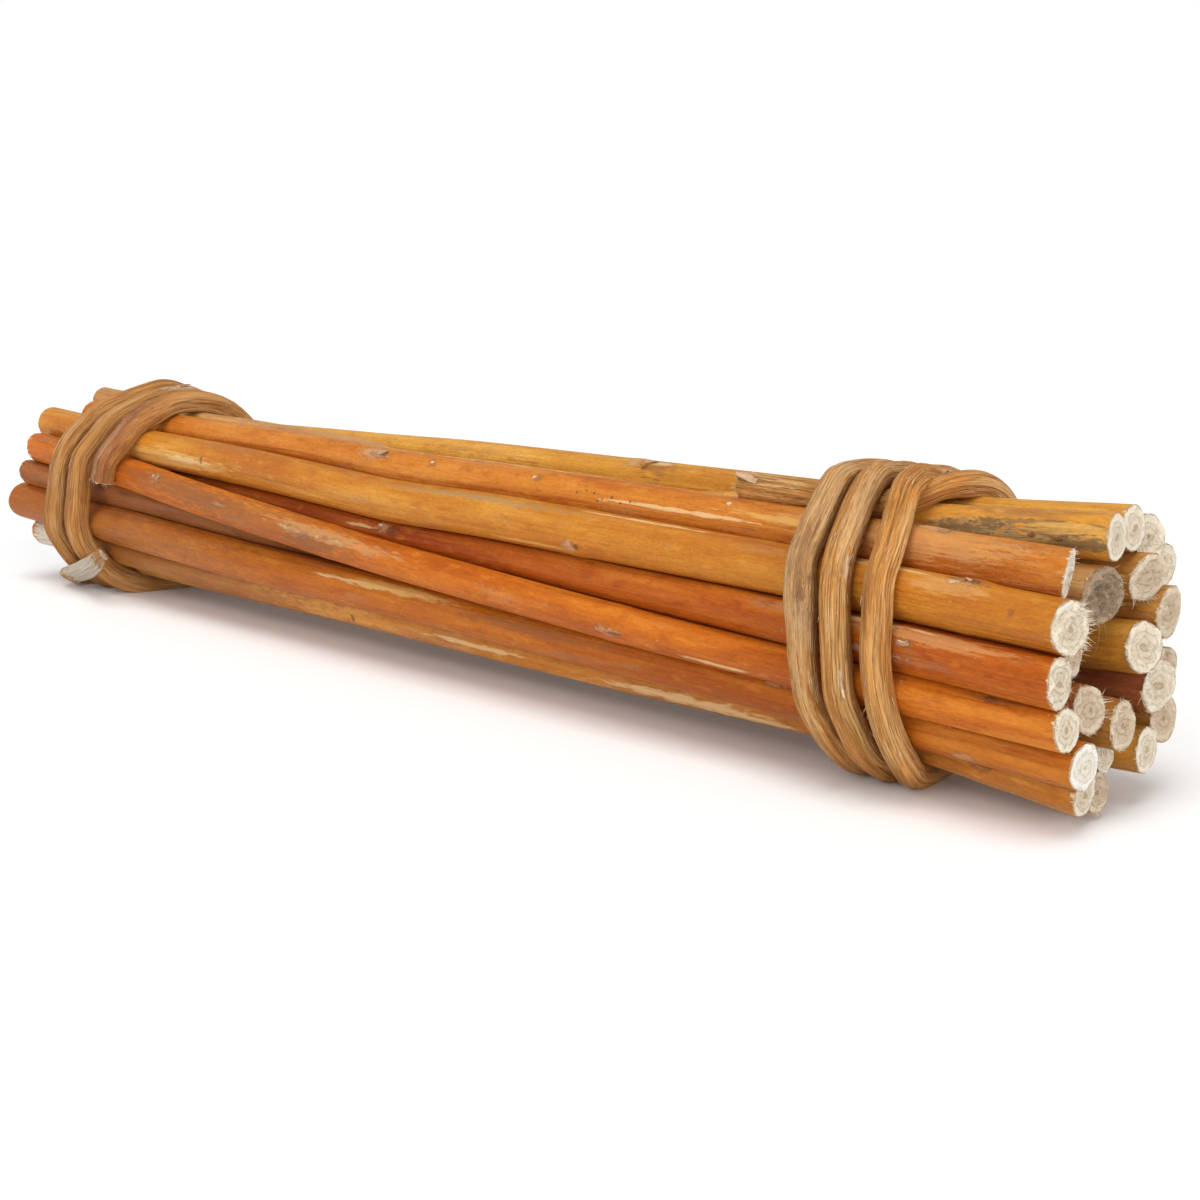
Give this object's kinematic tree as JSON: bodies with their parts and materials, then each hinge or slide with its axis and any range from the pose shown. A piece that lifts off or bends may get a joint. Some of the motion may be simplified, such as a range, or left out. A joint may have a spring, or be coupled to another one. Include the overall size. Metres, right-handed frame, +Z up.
{
  "type": "bundle of twigs",
  "caption": "Bundle of cut willow twigs of even length lying on its side, tied near each end with a wound willow rod, the sawn ends showing at one end.",
  "frame": {"origin": "middle of the bounding box at its underside, on the surface that the bundle lies on", "axes": "+X along the bundle towards the end with the three close turns and the sawn faces that the picture shows, -Y towards the front, +Z up"},
  "size_m": [0.2112, 0.0376, 0.0356],
  "materials": {
    "bark": "satin",
    "binding_bark": "matt, wrinkled lengthwise"
  },
  "bodies": {
    "root": {"twig_stained": "bark", "twig_red_upper": "bark", "twig_ochre": "bark", "twig_dark_red": "bark", "twig_orange": "bark", "twig_brown_orange": "bark", "twig_tan_low": "bark", "twig_under_front": "bark", "twig_under_back": "bark", "twig_back_low": "bark", "twig_back_lower": "bark", "twig_back": "bark", "twig_back_upper": "bark", "twig_back_high": "bark", "twig_yellow": "bark", "twig_slant_cut": "bark", "twig_torn": "bark", "twig_inner_back": "bark", "twig_inner_gold": "bark", "twig_inner_purple": "bark", "twig_inner_pith": "bark", "twig_inner_low": "bark", "twig_inner_front": "bark", "twig_crossing": "bark", "binding_near": "binding_bark", "binding_far": "binding_bark"}
  },
  "joints": []
}
